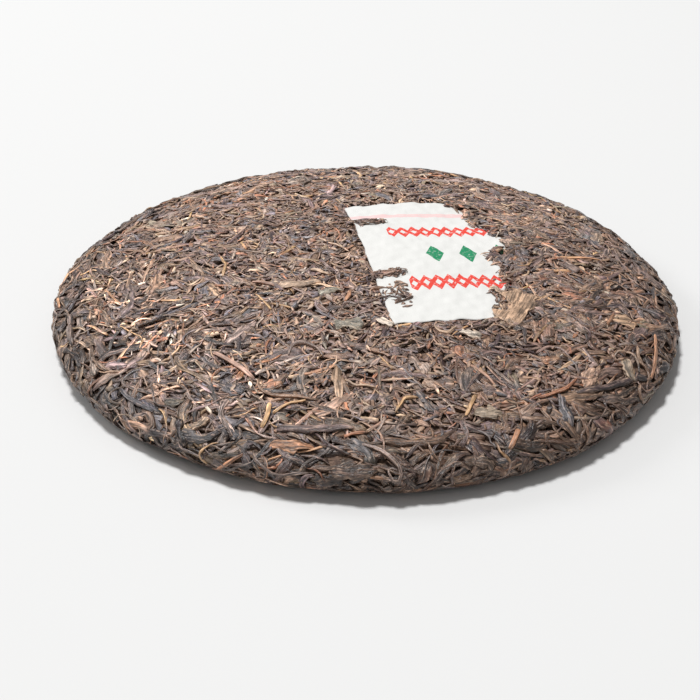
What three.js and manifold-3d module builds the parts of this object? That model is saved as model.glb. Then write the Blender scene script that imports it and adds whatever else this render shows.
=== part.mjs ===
// Compressed tea cake with a paper ticket pressed into its top.
// Units are millimetres. +Z is up and the cake lies on z = 0, centred on the z axis.
// +X is to the right and +Y points away from the viewer.

import * as THREE from "three";
import { mergeVertices } from "three/addons/utils/BufferGeometryUtils.js";
import Module from "manifold-3d";

const wasm = await Module();
wasm.setup();

// Cake: driving dimensions
const RADIUS = 100;
const CENTRE_HEIGHT = 22;
const SHOULDER_HEIGHT = 14.5;
const RIM_MIDDLE = 7;
const SHOULDER_RADIUS = 85;
const FOOT_RADIUS = 92;
const DOME_POWER = 2.2;
const EDGE_POWER = 2.2;

// Shallow hollow in the underside, left by the knot of the pressing cloth
const HOLLOW_RADIUS = 26;
const HOLLOW_DEPTH = 9;

// Uneven pressing: swing of the outline, which fades out inwards, and of the top
const OUTLINE_SWING = 0.5;
const SWING_START = 84;
const TOP_SWING = 0.35;
const LOBES = [2, 3, 5, 8, 13];

// Steps of the cake's surface
const STEPS_ROUND = 96;
const STEPS_HOLLOW = 6;
const STEPS_FOOT = 2;
const STEPS_EDGE = 6;
const STEPS_DOME = 17;

// Ticket: a sheet of paper sunk into the top, right of the centre and slightly turned
const TICKET_WIDTH = 56;
const TICKET_LENGTH = 82;
const TICKET_THICKNESS = 0.4;
const TICKET_TURN = THREE.MathUtils.degToRad(10.8);
const TICKET_CENTRE = new THREE.Vector2(27.7, 6.3);
const TICKET_SINK = 0.7;
const TICKET_CELL = 4;
const GAP = 0.3;

const TEA_COLOUR = new THREE.Color(0.3, 0.22, 0.18);
const PAPER_COLOUR = new THREE.Color(0.93, 0.92, 0.89);

// Share of full height left at radius r, round from the shoulder out to the widest line
function edgeRound(r, start) {
  const s = THREE.MathUtils.clamp((r - start) / (RADIUS - start), 0, 1);
  return (1 - s ** EDGE_POWER) ** (1 / EDGE_POWER);
}

function domeHeight(r) {
  const rise = CENTRE_HEIGHT - SHOULDER_HEIGHT;
  return SHOULDER_HEIGHT + rise * (1 - (r / SHOULDER_RADIUS) ** DOME_POWER);
}

function topHeight(r) {
  return RIM_MIDDLE + (domeHeight(r) - RIM_MIDDLE) * edgeRound(r, SHOULDER_RADIUS);
}

function footHeight(r) {
  return RIM_MIDDLE * (1 - edgeRound(r, FOOT_RADIUS));
}

function hollowHeight(r) {
  return (HOLLOW_DEPTH * (1 + Math.cos((Math.PI * r) / HOLLOW_RADIUS))) / 2;
}

// How far the outline stands out or in at one bearing
function outlineSwing(bearing) {
  let sum = 0;
  for (const lobes of LOBES) {
    sum += Math.cos(lobes * bearing + lobes * lobes) / Math.sqrt(lobes);
  }
  return OUTLINE_SWING * sum;
}

// Low, broad bumps of the pressed leaves on the top
function topSwing(x, y) {
  const across = Math.sin(x / 9.1 + 1.3 * Math.sin(y / 17));
  const along = Math.sin(y / 7.7 + 1.1 * Math.sin(x / 13));
  return TOP_SWING * (across + along);
}

// Height of the cake's real top at a point, seen from above
function surfaceHeight(x, y) {
  return topHeight(Math.hypot(x, y)) + topSwing(x, y);
}

// Half section of the cake, from the hollow's middle under the foot and round to the top's middle
function cakeProfile() {
  const points = [];
  for (let i = 0; i < STEPS_HOLLOW; i++) {
    const r = (HOLLOW_RADIUS * i) / STEPS_HOLLOW;
    points.push(new THREE.Vector2(r, hollowHeight(r)));
  }
  for (let i = 0; i < STEPS_FOOT; i++) {
    points.push(new THREE.Vector2(THREE.MathUtils.lerp(HOLLOW_RADIUS, FOOT_RADIUS, i / STEPS_FOOT), 0));
  }
  for (let i = 0; i < STEPS_EDGE; i++) {
    const r = THREE.MathUtils.lerp(FOOT_RADIUS, RADIUS, Math.sin((Math.PI * i) / 2 / STEPS_EDGE));
    points.push(new THREE.Vector2(r, footHeight(r)));
  }
  for (let i = 0; i < STEPS_EDGE; i++) {
    const r = THREE.MathUtils.lerp(SHOULDER_RADIUS, RADIUS, Math.cos((Math.PI * i) / 2 / STEPS_EDGE));
    points.push(new THREE.Vector2(r, topHeight(r)));
  }
  for (let i = 0; i <= STEPS_DOME; i++) {
    const r = SHOULDER_RADIUS * (1 - i / STEPS_DOME);
    points.push(new THREE.Vector2(r, topHeight(r)));
  }
  return points;
}

// Moves a round point of the cake to its place on the uneven real one
function unevenPoint(point) {
  const r = Math.hypot(point.x, point.y);
  const outer = THREE.MathUtils.smoothstep(r, SWING_START, RADIUS);
  const above = THREE.MathUtils.smoothstep(point.z, RIM_MIDDLE, SHOULDER_HEIGHT);
  const stretch = r > 0 ? 1 + (outer * outlineSwing(Math.atan2(point.y, point.x))) / r : 1;
  point.z += above * topSwing(point.x, point.y);
  point.x *= stretch;
  point.y *= stretch;
}

// Calls change on every vertex of a geometry
function mapPoints(geometry, change) {
  const position = geometry.getAttribute("position");
  const point = new THREE.Vector3();
  for (let i = 0; i < position.count; i++) {
    point.fromBufferAttribute(position, i);
    change(point);
    position.setXYZ(i, point.x, point.y, point.z);
  }
  return geometry;
}

// Keeps only positions, with shared vertices merged and no triangle that has shrunk to a line
function weld(geometry) {
  geometry.deleteAttribute("normal");
  geometry.deleteAttribute("uv");
  const merged = mergeVertices(geometry, 1e-3);
  const index = merged.getIndex().array;
  const kept = [];
  for (let i = 0; i < index.length; i += 3) {
    const [a, b, c] = [index[i], index[i + 1], index[i + 2]];
    if (a !== b && b !== c && c !== a) {
      kept.push(a, b, c);
    }
  }
  merged.setIndex(kept);
  return merged;
}

function toSolid(geometry) {
  return new wasm.Manifold(
    new wasm.Mesh({
      numProp: 3,
      vertProperties: new Float32Array(geometry.getAttribute("position").array),
      triVerts: new Uint32Array(geometry.getIndex().array),
    })
  );
}

function toGeometry(solid) {
  const mesh = solid.getMesh();
  const geometry = new THREE.BufferGeometry();
  geometry.setAttribute("position", new THREE.BufferAttribute(mesh.vertProperties, 3));
  geometry.setIndex(new THREE.BufferAttribute(mesh.triVerts, 1));
  return geometry;
}

function cakeGeometry() {
  const lathe = new THREE.LatheGeometry(cakeProfile(), STEPS_ROUND);
  lathe.rotateX(Math.PI / 2);
  return weld(mapPoints(lathe, unevenPoint));
}

// A sheet laid on the cake's top: grow widens it all round, low and high are its faces' heights
// above the surface that it follows
function sheetGeometry(grow, low, high) {
  const width = TICKET_WIDTH + 2 * grow;
  const length = TICKET_LENGTH + 2 * grow;
  const across = Math.round(TICKET_WIDTH / TICKET_CELL);
  const along = Math.round(TICKET_LENGTH / TICKET_CELL);
  const sheet = new THREE.BoxGeometry(width, length, 1, across, along, 1);
  sheet.rotateZ(TICKET_TURN);
  sheet.translate(TICKET_CENTRE.x, TICKET_CENTRE.y, 0);
  mapPoints(sheet, (point) => {
    point.z = surfaceHeight(point.x, point.y) + (point.z < 0 ? low : high);
  });
  return weld(sheet);
}

function ticketGeometry() {
  return sheetGeometry(0, -TICKET_SINK - TICKET_THICKNESS, -TICKET_SINK);
}

// The cake with the shallow bed that the ticket is pressed into
function pressedCakeGeometry() {
  const bed = sheetGeometry(GAP, -TICKET_SINK - TICKET_THICKNESS - GAP, TICKET_SINK + TICKET_THICKNESS);
  return toGeometry(toSolid(cakeGeometry()).subtract(toSolid(bed)));
}

function makeMesh(name, geometry, colour, roughness) {
  const material = new THREE.MeshStandardMaterial({ color: colour, roughness, metalness: 0 });
  const mesh = new THREE.Mesh(geometry, material);
  mesh.name = name;
  return mesh;
}

// Puts the middle of the whole outline on the z axis and its underside on z = 0
function centre(group) {
  const box = new THREE.Box3().setFromObject(group);
  const middle = box.getCenter(new THREE.Vector3());
  for (const mesh of group.children) {
    mesh.position.set(-middle.x, -middle.y, -box.min.z);
  }
}

const cake = new THREE.Group();
cake.add(makeMesh("tea_cake", pressedCakeGeometry(), TEA_COLOUR, 0.8));
cake.add(makeMesh("ticket", ticketGeometry(), PAPER_COLOUR, 0.9));
centre(cake);

export default cake;
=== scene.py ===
import math

import bpy
import numpy as np
from mathutils import Matrix, Vector


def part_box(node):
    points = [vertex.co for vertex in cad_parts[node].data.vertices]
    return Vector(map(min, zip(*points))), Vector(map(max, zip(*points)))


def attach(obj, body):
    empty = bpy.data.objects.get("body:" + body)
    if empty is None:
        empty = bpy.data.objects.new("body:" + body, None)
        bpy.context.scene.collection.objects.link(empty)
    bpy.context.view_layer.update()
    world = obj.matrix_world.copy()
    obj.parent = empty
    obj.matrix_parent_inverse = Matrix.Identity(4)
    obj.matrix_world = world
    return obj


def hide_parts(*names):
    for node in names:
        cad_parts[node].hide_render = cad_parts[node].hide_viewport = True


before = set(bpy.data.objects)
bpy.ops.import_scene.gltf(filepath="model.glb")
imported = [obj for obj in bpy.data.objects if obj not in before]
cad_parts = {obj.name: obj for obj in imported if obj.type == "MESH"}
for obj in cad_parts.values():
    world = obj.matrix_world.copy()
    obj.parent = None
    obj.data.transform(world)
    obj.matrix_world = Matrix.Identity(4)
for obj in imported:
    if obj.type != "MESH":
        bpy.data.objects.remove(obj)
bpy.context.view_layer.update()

# Lengths are in millimetres, and MM turns them into the scene's metres
MM = 0.001

# The cake's form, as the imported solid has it
RADIUS = 100.0
CENTRE_HEIGHT = 22.0
SHOULDER_HEIGHT = 14.5
RIM_MIDDLE = 7.0
SHOULDER_RADIUS = 85.0
FOOT_RADIUS = 92.0
DOME_POWER = 2.2
EDGE_POWER = 2.2
HOLLOW_RADIUS = 26.0
HOLLOW_DEPTH = 9.0
OUTLINE_SWING = 0.5
SWING_START = 84.0
TOP_SWING = 0.35
LOBES = (2, 3, 5, 8, 13)

# The ticket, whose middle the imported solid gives
TICKET_WIDTH = 56.0
TICKET_LENGTH = 82.0
TICKET_TURN = math.radians(10.8)
TICKET_CENTRE = np.array((27.7, 6.3))
TICKET_SINK = 0.7
ticket_low, ticket_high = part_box("ticket")
FRAME_SHIFT = np.array([(a + b) / 2 / MM for a, b in zip(ticket_low, ticket_high)][:2]) - TICKET_CENTRE

# Points along the section's stretches, before they are evened out
DOME_POINTS = 800
TURN_POINTS = 500
FOOT_POINTS = 400
HOLLOW_POINTS = 300
STEP = 0.1  # between points of the evened section
CELL = 0.5  # of the height charts
CORE_DEPTH = 1.9  # of the core of crushed leaf under the leaves
SEARCH_ROUNDS = 3  # of the search for the nearest surface point


def smoothstep(x, low, high):
    t = np.clip((x - low) / (high - low), 0, 1)
    return t * t * (3 - 2 * t)


def soft_min(value, limit, soft):
    """value where it is well below limit, and never above limit."""
    return limit - soft * np.logaddexp(0, (limit - value) / soft)


# The smooth cake: a half section from the top's middle, round the rim, to the hollow's middle
def edge_round(r, start):
    s = np.clip((r - start) / (RADIUS - start), 0, 1)
    return (1 - s**EDGE_POWER) ** (1 / EDGE_POWER)


def top_height(r):
    rise = CENTRE_HEIGHT - SHOULDER_HEIGHT
    dome = SHOULDER_HEIGHT + rise * (1 - (r / SHOULDER_RADIUS) ** DOME_POWER)
    return RIM_MIDDLE + (dome - RIM_MIDDLE) * edge_round(r, SHOULDER_RADIUS)


def make_section():
    """Radius, height and their slopes at even steps of arc length."""
    turn = np.sin(np.linspace(0, np.pi / 2, TURN_POINTS))
    dome = np.linspace(0, SHOULDER_RADIUS, DOME_POINTS)
    edge = SHOULDER_RADIUS + (RADIUS - SHOULDER_RADIUS) * turn[1:]
    under = FOOT_RADIUS + (RADIUS - FOOT_RADIUS) * turn[-2::-1]
    foot = np.linspace(FOOT_RADIUS, HOLLOW_RADIUS, FOOT_POINTS)[1:]
    hollow = np.linspace(HOLLOW_RADIUS, 0, HOLLOW_POINTS)[1:]
    r = np.concatenate([dome, edge, under, foot, hollow])
    z = np.concatenate([
        top_height(dome),
        top_height(edge),
        RIM_MIDDLE * (1 - edge_round(under, FOOT_RADIUS)),
        np.zeros(len(foot)),
        HOLLOW_DEPTH * (1 + np.cos(np.pi * hollow / HOLLOW_RADIUS)) / 2,
    ])
    length = np.concatenate([[0], np.cumsum(np.hypot(np.diff(r), np.diff(z)))])
    even = np.arange(0, length[-1], STEP)
    r, z = np.interp(even, length, r), np.interp(even, length, z)
    slope_r, slope_z = np.gradient(r, STEP), np.gradient(z, STEP)
    size = np.hypot(slope_r, slope_z)
    return np.stack([r, z, slope_r / size, slope_z / size], 1), float(even[-1])


SECTION, SECTION_LENGTH = make_section()


def on_section(s):
    """Radius, height, slope of radius and slope of height at arc length s."""
    x = np.clip(np.asarray(s) / STEP, 0, len(SECTION) - 1.001)
    i = x.astype(int)
    part = (x - i)[..., None]
    return np.moveaxis(SECTION[i] * (1 - part) + SECTION[i + 1] * part, -1, 0)


def surface(s, phi):
    """Point and outward normal of the smooth cake."""
    r, z, slope_r, slope_z = on_section(s)
    c, n = np.cos(phi), np.sin(phi)
    return np.stack([r * c, r * n, z], -1), np.stack([-slope_z * c, -slope_z * n, slope_r], -1)


def locate(p, s):
    """Arc length and bearing of the surface point nearest to p, starting the search at s."""
    r, z = np.hypot(p[..., 0], p[..., 1]), p[..., 2]
    for _ in range(SEARCH_ROUNDS):
        at_r, at_z, slope_r, slope_z = on_section(s)
        s = np.clip(s + (r - at_r) * slope_r + (z - at_z) * slope_z, 0, SECTION_LENGTH)
    return s, np.arctan2(p[..., 1], p[..., 0])


def top_swing(x, y):
    """Low, broad bumps of the pressed leaves on the top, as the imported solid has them."""
    across = np.sin(x / 9.1 + 1.3 * np.sin(y / 17))
    along = np.sin(y / 7.7 + 1.1 * np.sin(x / 13))
    return TOP_SWING * (across + along)


def uneven(p):
    """Moves points of the smooth cake to the uneven one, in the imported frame."""
    x, y, z = p[..., 0], p[..., 1], p[..., 2]
    r, bearing = np.hypot(x, y), np.arctan2(y, x)
    swing = sum(np.cos(k * bearing + k * k) / math.sqrt(k) for k in LOBES) * OUTLINE_SWING
    stretch = 1 + smoothstep(r, SWING_START, RADIUS) * swing / np.maximum(r, 1)
    lift = smoothstep(z, RIM_MIDDLE, SHOULDER_HEIGHT) * top_swing(x, y)
    return np.stack([x * stretch + FRAME_SHIFT[0], y * stretch + FRAME_SHIFT[1], z + lift], -1)


# The photo's view, from a circle of the cake's radius fitted to its outline
CAMERA_DISTANCE = 450.0
CAMERA_ELEVATION = math.radians(31.18)
CAMERA_ROLL = math.radians(0.84)
CAMERA_TARGET = np.array((-5.0, -21.1, 0.0))
FOCAL_PIXELS = 1434.0
IMAGE_PIXELS = 700.0


def view_axes():
    """The view's right, up and back directions, as rows."""
    back = np.array((0, -math.cos(CAMERA_ELEVATION), math.sin(CAMERA_ELEVATION)))
    right = np.array((1, 0, 0))
    up = np.cross(back, right)
    c, s = math.cos(CAMERA_ROLL), math.sin(CAMERA_ROLL)
    return np.stack([c * right + s * up, -s * right + c * up, back])


VIEW_AXES = view_axes()
EYE = CAMERA_TARGET + VIEW_AXES[2] * CAMERA_DISTANCE


def in_picture(p):
    """The pixels at which points show."""
    right, up, back = np.moveaxis((p - EYE) @ VIEW_AXES.T, -1, 0)
    return IMAGE_PIXELS / 2 + FOCAL_PIXELS * np.stack([-right / back, up / back], -1)


SIGHT_STEP = 0.3
SIGHT_REACH = 112.0
SIGHT_ROUND = 1800


def visible_places():
    """Arc length and bearing of every visible place of the cake, with its pixel."""
    bearings = np.linspace(-np.pi, np.pi, SIGHT_ROUND, endpoint=False)
    s, phi = np.meshgrid(np.arange(0, SIGHT_REACH, SIGHT_STEP), bearings, indexing="ij")
    p, normal = surface(s, phi)
    p = uneven(p)
    seen = ((EYE - p) * normal).sum(-1) > 0
    return s[seen], phi[seen], in_picture(p[seen])


SEEN_S, SEEN_PHI, SEEN_PIXEL = visible_places()


# The ticket's own axes: u across from its left edge, v along from its near edge
TICKET_U = np.array((math.cos(TICKET_TURN), math.sin(TICKET_TURN)))
TICKET_V = np.array((-math.sin(TICKET_TURN), math.cos(TICKET_TURN)))
TICKET_CORNER = TICKET_CENTRE - TICKET_U * TICKET_WIDTH / 2 - TICKET_V * TICKET_LENGTH / 2

# Right edge of what shows of the ticket, as u at some v; leaves cover the rest
SHOWN_V = (0, 10, 15, 20, 31, 38, 42, 46, 52, 58, 66, 75, 82)
SHOWN_U = (32, 35, 33, 39, 39, 37, 41, 49, 46, 43, 39, 37, 35)
SHOWN_SWING = 1.6
HIDDEN_SINK = 1.1  # of the paper under those leaves
HIDDEN_SLOPE = (1.5, 5)  # distances past that edge between which the paper goes down


def ticket_place(x, y):
    dx, dy = x - TICKET_CORNER[0], y - TICKET_CORNER[1]
    return dx * TICKET_U[0] + dy * TICKET_U[1], dx * TICKET_V[0] + dy * TICKET_V[1]


def ticket_distance(x, y):
    """How far a point is outside the ticket, or, as less than nothing, inside it."""
    u, v = ticket_place(x, y)
    return np.maximum(np.maximum(-u, u - TICKET_WIDTH), np.maximum(-v, v - TICKET_LENGTH))


def ticket_point(u, v):
    return (TICKET_CORNER[k] + u * TICKET_U[k] + v * TICKET_V[k] for k in (0, 1))


def on_ticket(u, v):
    """Arc length and bearing of a place on the ticket."""
    x, y = ticket_point(u, v)
    dome = SECTION[: int(SHOULDER_RADIUS / STEP), 0]
    return np.interp(np.hypot(x, y), dome, np.arange(len(dome)) * STEP), np.arctan2(y, x)


WAVE_COUNT = 6
WAVE_SCALES = (0.7, 1.6)
WAVE_PEAK = 3.5


def waves(x, y, length, seed):
    """Smooth unevenness from -1 to 1 with bumps of about this length."""
    rng = np.random.default_rng(seed)
    total = 0
    for _ in range(WAVE_COUNT):
        angle, phase = rng.uniform(0, 2 * np.pi, 2)
        scale = rng.uniform(*WAVE_SCALES)
        along = x * math.cos(angle) + y * math.sin(angle)
        total = total + np.sin(along * 2 * np.pi * scale / length + phase)
    return total / WAVE_PEAK


def shown_line(v):
    return np.interp(v, SHOWN_V, SHOWN_U) + SHOWN_SWING * waves(v, v * 0, length=6, seed=41)


def paper_level(u, v):
    """The smooth height of the paper over the cake's smooth surface."""
    return -TICKET_SINK - HIDDEN_SINK * smoothstep(u - shown_line(v), *HIDDEN_SLOPE)


PRESS_SWING = 0.25
RIM_SWING = 0.4
RIM_FADE = (76, 90)  # arc lengths between which the rim's own swing comes in
TICKET_BED = 1.0
BED_EDGE = (-0.4, 0.9)  # distances from the ticket between which its bed ends
UNDER_FADE = (104, 111)
UNDER_PROUD = 0.02
UNDER_SINK = 0.2
PROUD = 0.45  # of leaves that lie on the ticket
PLACED_PROUD = 0.8  # of the chosen leaves that lie on all the others
BED_DEPTH = 0.42  # of the crushed leaves that fill the gaps


def roughness(p, s):
    """The height, over the smooth surface, that the press has pushed the leaves down to."""
    x, y, z = p[..., 0], p[..., 1], p[..., 2]
    level = PRESS_SWING * waves(x + z, y - z, length=13, seed=5)
    level = level + RIM_SWING * smoothstep(s, *RIM_FADE) * waves(x + z, y - z, length=8, seed=6)
    under = smoothstep(s, *UNDER_FADE)
    return np.where(under > 0, np.minimum(level, UNDER_PROUD) * (1 - under) - UNDER_SINK * under, level)


def press_level(p, s):
    inside = 1 - smoothstep(ticket_distance(p[..., 0], p[..., 1]), *BED_EDGE)
    inside = inside * (s < SHOULDER_RADIUS)
    return roughness(p, s) * (1 - inside) - TICKET_BED * inside


def bed_level(p, s):
    return press_level(p, s) - BED_DEPTH


def proud_level(p, s):
    return roughness(p, s) + PROUD


def placed_level(p, s):
    return roughness(p, s) + PLACED_PROUD


# Height charts
class Chart:
    """Heights over one face of the cake, on a flat grid round that face's middle."""

    def __init__(self, below, reach):
        self.below = below
        self.reach = reach
        self.count = int(2 * reach / CELL) + 1
        self.height = np.full(self.count * self.count, -CORE_DEPTH)

    def cells(self, s, phi):
        far = np.minimum(SECTION_LENGTH - s if self.below else s, self.reach - CELL)
        i = ((far * np.cos(phi) + self.reach) / CELL).astype(int)
        j = ((far * np.sin(phi) + self.reach) / CELL).astype(int)
        return i * self.count + j


FINE = 3  # chart samples between two rings of a leaf


def walk(s, phi, heading, bend, step):
    """Paths along the surface, all at once: bend is the turn at each step."""
    p, normal = surface(s, phi)
    _, _, slope_r, slope_z = on_section(s)
    c, n = np.cos(phi), np.sin(phi)
    outward = np.stack([slope_r * c, slope_r * n, slope_z], -1)
    around = np.stack([-n, c, np.zeros_like(c)], -1)
    t = np.cos(heading)[:, None] * outward + np.sin(heading)[:, None] * around
    rows = [(p, t, normal, s)]
    for k in range(bend.shape[1]):
        s, phi = locate(p + t * step[:, None], s)
        p, normal = surface(s, phi)
        t = t - (t * normal).sum(-1, keepdims=True) * normal
        t = t / np.linalg.norm(t, axis=-1, keepdims=True)
        side = np.cross(normal, t)
        turn = bend[:, k : k + 1]
        t = t * np.cos(turn) + side * np.sin(turn)
        rows.append((p, t, normal, s))
    p, t, normal, s = (np.stack(x, 1) for x in zip(*rows))
    return {"p": p, "t": t, "n": normal, "side": np.cross(normal, t), "s": s}


TIP_START = -0.02


def ends(u, start, stop, low):
    """1 along the middle of a leaf, falling to low at its two ends."""
    return low + (1 - low) * np.sqrt(smoothstep(u, TIP_START, start) * smoothstep(1 - u, TIP_START, stop))


def smooth_rows(rows, width):
    kernel = np.hanning(width + 2)[1:-1]
    kernel /= kernel.sum()
    padded = np.pad(rows, (width // 2, width // 2), mode="edge")
    return np.convolve(padded, kernel, "valid")


ACROSS_SAMPLES = 9
ARCH_REACH = 0.96
BED_SMOOTHING = 7  # samples along a leaf
PATH_SMOOTHING = 9
DIVE_REACH = 0.3  # share of a leaf's length that its end dives over
TOP_SHARE = 0.75  # of a leaf's half thickness that is kept under the limit
LIMIT_SOFTNESS = 0.15


def settle(chart, path, sizes, taper, level, room, dive, keep, embed):
    """Lays leaves one by one on the chart. Gives the rows that found room and their middle heights."""
    lateral = np.linspace(-1, 1, ACROSS_SAMPLES)
    arch = np.sqrt(1 - (ARCH_REACH * lateral) ** 2)
    width, thick = sizes["width"], sizes["thick"]
    half = 0.5 * width[:, None] * taper
    spread = path["p"][:, :, None] + path["side"][:, :, None] * (half[:, :, None] * lateral)[..., None]
    s, phi = locate(spread, path["s"][:, :, None])
    cells = chart.cells(s, phi)
    limit = level(path["p"], path["s"])
    u = np.linspace(0, 1, path["s"].shape[1])
    first, last = 1 - smoothstep(u, 0, DIVE_REACH), 1 - smoothstep(1 - u, 0, DIVE_REACH)
    kept, heights = [], []
    for i in range(len(width)):
        below = chart.height[cells[i]]
        bed = smooth_rows(0.5 * (below.max(1) + below.mean(1)), BED_SMOOTHING)
        if (bed - limit[i]).mean() > -room * thick[i]:
            continue
        deep = 0.5 * thick[i] * taper[i]
        middle = bed + (1 - embed) * deep
        middle -= dive[i, 0] * first + dive[i, 1] * last
        middle = soft_min(middle, limit[i] - TOP_SHARE * deep, LIMIT_SOFTNESS)
        top = np.minimum(middle[:, None] + deep[:, None] * arch, limit[i][:, None])
        np.maximum.at(chart.height, cells[i].ravel(), top.ravel())
        kept.append(i)
        heights.append(middle)
        if len(kept) == keep:
            break
    return np.array(kept, int), np.array(heights)


def between(rng, pair, n, power=1.0):
    low, high = pair
    return low + (high - low) * rng.random(n) ** power


def starts(rng, n, low, high):
    """Bearings and arc lengths spread evenly over the area between two arc lengths."""
    s = np.arange(low, high, STEP)
    share = np.cumsum(on_section(s)[0])
    return np.interp(rng.random(n) * share[-1], share, s), rng.uniform(-np.pi, np.pi, n)


BUNDLE_TURN = 2.2
BUNDLE_LENGTH = 55
BUNDLE_SPREAD = 0.75
WRAP_SPREAD = 0.5
WRAP_FADE = (72, 98)  # arc lengths between which more and more leaves run round the cake
ACROSS_SHARE = 0.18  # of the leaves that never do


def headings(rng, s, phi):
    """Loose bundles on the top; more and more along the rim towards the edge."""
    r = on_section(s)[0]
    x, y = r * np.cos(phi), r * np.sin(phi)
    bundle = BUNDLE_TURN * waves(x, y, BUNDLE_LENGTH, seed=11) + rng.normal(0, BUNDLE_SPREAD, len(s)) - phi
    wrap = np.pi / 2 + rng.normal(0, WRAP_SPREAD, len(s))
    across = rng.random(len(s)) < ACROSS_SHARE
    edge = smoothstep(s, *WRAP_FADE) * ~across
    heading = np.where(rng.random(len(s)) < edge, wrap, bundle)
    return heading + np.pi * (rng.random(len(s)) < 0.5)


def srgb(*values):
    c = np.array(values, float) / 255
    return np.where(c <= 0.04045, c / 12.92, ((c + 0.055) / 1.055) ** 2.4)


# Leaf colours, from the photo's tones, and how many shares each has in each kind of leaf
TAUPE = srgb(174, 151, 142)
PLUM = srgb(150, 127, 125)
SLATE = srgb(135, 130, 136)
BROWN = srgb(186, 151, 128)
UMBER = srgb(144, 113, 98)
OLIVE = srgb(171, 154, 134)
STONE = srgb(158, 151, 136)
RUST = srgb(204, 140, 106)
TAN = srgb(227, 194, 166)
CREAM = srgb(242, 226, 208)
GOLD = srgb(238, 192, 142)
PINK = srgb(230, 186, 166)
ORANGE = srgb(228, 168, 130)
DUN = srgb(212, 176, 146)
BLACK = srgb(99, 81, 84)

BED_COLOURS = ((TAUPE, 6), (PLUM, 3), (SLATE, 3), (BROWN, 5), (UMBER, 4), (DUN, 2))
DARK_LEAVES = ((TAUPE, 5), (PLUM, 3), (SLATE, 3), (BROWN, 4), (UMBER, 4), (BLACK, 4), (DUN, 1))
STRAND_LEAVES = ((TAUPE, 5), (PLUM, 3), (SLATE, 2), (BROWN, 4), (UMBER, 4), (BLACK, 2), (RUST, 1), (TAN, 1))
TWIST_LEAVES = ((TAUPE, 4), (BROWN, 4), (UMBER, 4), (BLACK, 2), (RUST, 1), (TAN, 2), (SLATE, 2), (GOLD, 1))
FLAT_LEAVES = (
    (OLIVE, 2), (BROWN, 3), (TAUPE, 4), (TAN, 1), (DUN, 1), (RUST, 1), (SLATE, 3), (UMBER, 4), (PLUM, 4),
)
STEM_COLOURS = ((GOLD, 3), (ORANGE, 3), (PINK, 2), (TAN, 3), (BROWN, 4), (TAUPE, 3), (OLIVE, 1))
BIT_COLOURS = ((TAUPE, 6), (BROWN, 6), (UMBER, 5), (BLACK, 3), (RUST, 3), (TAN, 4), (CREAM, 1), (SLATE, 3))
DEBRIS_COLOURS = ((UMBER, 4), (BLACK, 2), (BROWN, 2))

# Each kind of leaf: ranges of length, width and thickness, and the sides and rings of its mesh.
# bend, curl and kink turn its path; crease and twist shape its folds, ragged, lump, lean and ripple its form;
# tip is its width at the ends, warm its pale edges, and middle its size in the middle of the cake, where the
# leaves are finer than at the rim. finish is how far its streaks are squeezed across it, their contrast,
# which also sets the painted shade in the wrinkles and the painted light on their crests, its roughness and
# its bump.
KINDS = {
    "bed_leaves": dict(
        length=(9, 22), width=(2.4, 4.6), thick=(1.2, 1.9), sides=6, rings=6, bend=0.07, kink=0.35,
        crease=0.5, ragged=0.2, lump=0.25, lean=0.5, tip=0.5, ripple=0.25, warm=0.35,
        middle=0.85, palette=BED_COLOURS, finish=(1.7, 0.6, 0.38, 1.0),
    ),
    "rolled_leaves": dict(
        length=(8, 24), width=(2.0, 4.8), thick=(0.8, 1.5), sides=12, rings=10, bend=0.085,
        kink=0.5, crease=0.55, ragged=0.14, lump=0.26, lean=0.6, tip=0.45, ripple=0.25, warm=0.5,
        middle=0.64, palette=DARK_LEAVES, finish=(1.7, 0.65, 0.33, 1.0),
    ),
    "strands": dict(
        length=(7, 21), width=(1.0, 2.2), thick=(0.7, 1.3), sides=8, rings=11, bend=0.1, curl=0.06, kink=0.4,
        crease=0.45, ragged=0.08, lump=0.14, lean=0.3, tip=0.3, ripple=0.05, warm=0.45,
        middle=0.68, palette=STRAND_LEAVES, finish=(1.9, 0.5, 0.33, 0.9),
    ),
    "twists": dict(
        length=(7, 19), width=(0.6, 1.2), thick=(0.5, 1.0), sides=6, rings=15, bend=0.11, curl=0.2, kink=0.3,
        crease=0.4, twist=9.0, ragged=0.1, lump=0.14, lean=0.2, tip=0.3, warm=0.45,
        middle=0.75, palette=TWIST_LEAVES, finish=(2.0, 0.4, 0.35, 0.7),
    ),
    "flat_leaves": dict(
        length=(5, 15), width=(2.6, 6.4), thick=(0.4, 0.7), sides=12, rings=9, bend=0.07, kink=0.2,
        crease=0.15, ragged=0.2, lump=0.2, lean=0.8, tip=0.5, ripple=0.4, warm=0.6,
        middle=0.7, palette=FLAT_LEAVES, finish=(1.4, 0.6, 0.4, 1.0),
    ),
    "stems": dict(
        length=(5, 17), width=(0.8, 1.8), thick=(0.7, 1.2), sides=7, rings=7, bend=0.015, kink=0.12,
        crease=0.25, ragged=0.06, lump=0.08, lean=0.2, tip=0.7, warm=0.3,
        middle=0.72, palette=STEM_COLOURS, finish=(1.8, 0.35, 0.5, 0.5),
    ),
    "leaf_bits": dict(
        length=(1.5, 6.0), width=(0.6, 2.2), thick=(0.25, 0.55), sides=5, rings=3, bend=0.12,
        kink=0.3, crease=0.35, ragged=0.3, lump=0.25, lean=0.6, tip=0.5, ripple=0.12, warm=0.5,
        middle=0.8, palette=BIT_COLOURS, finish=(1.6, 0.4, 0.55, 0.7),
    ),
}
TONE_SPREAD = 0.3
HUE_SPREAD = 0.03
leaves = {name: [] for name in KINDS}


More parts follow.
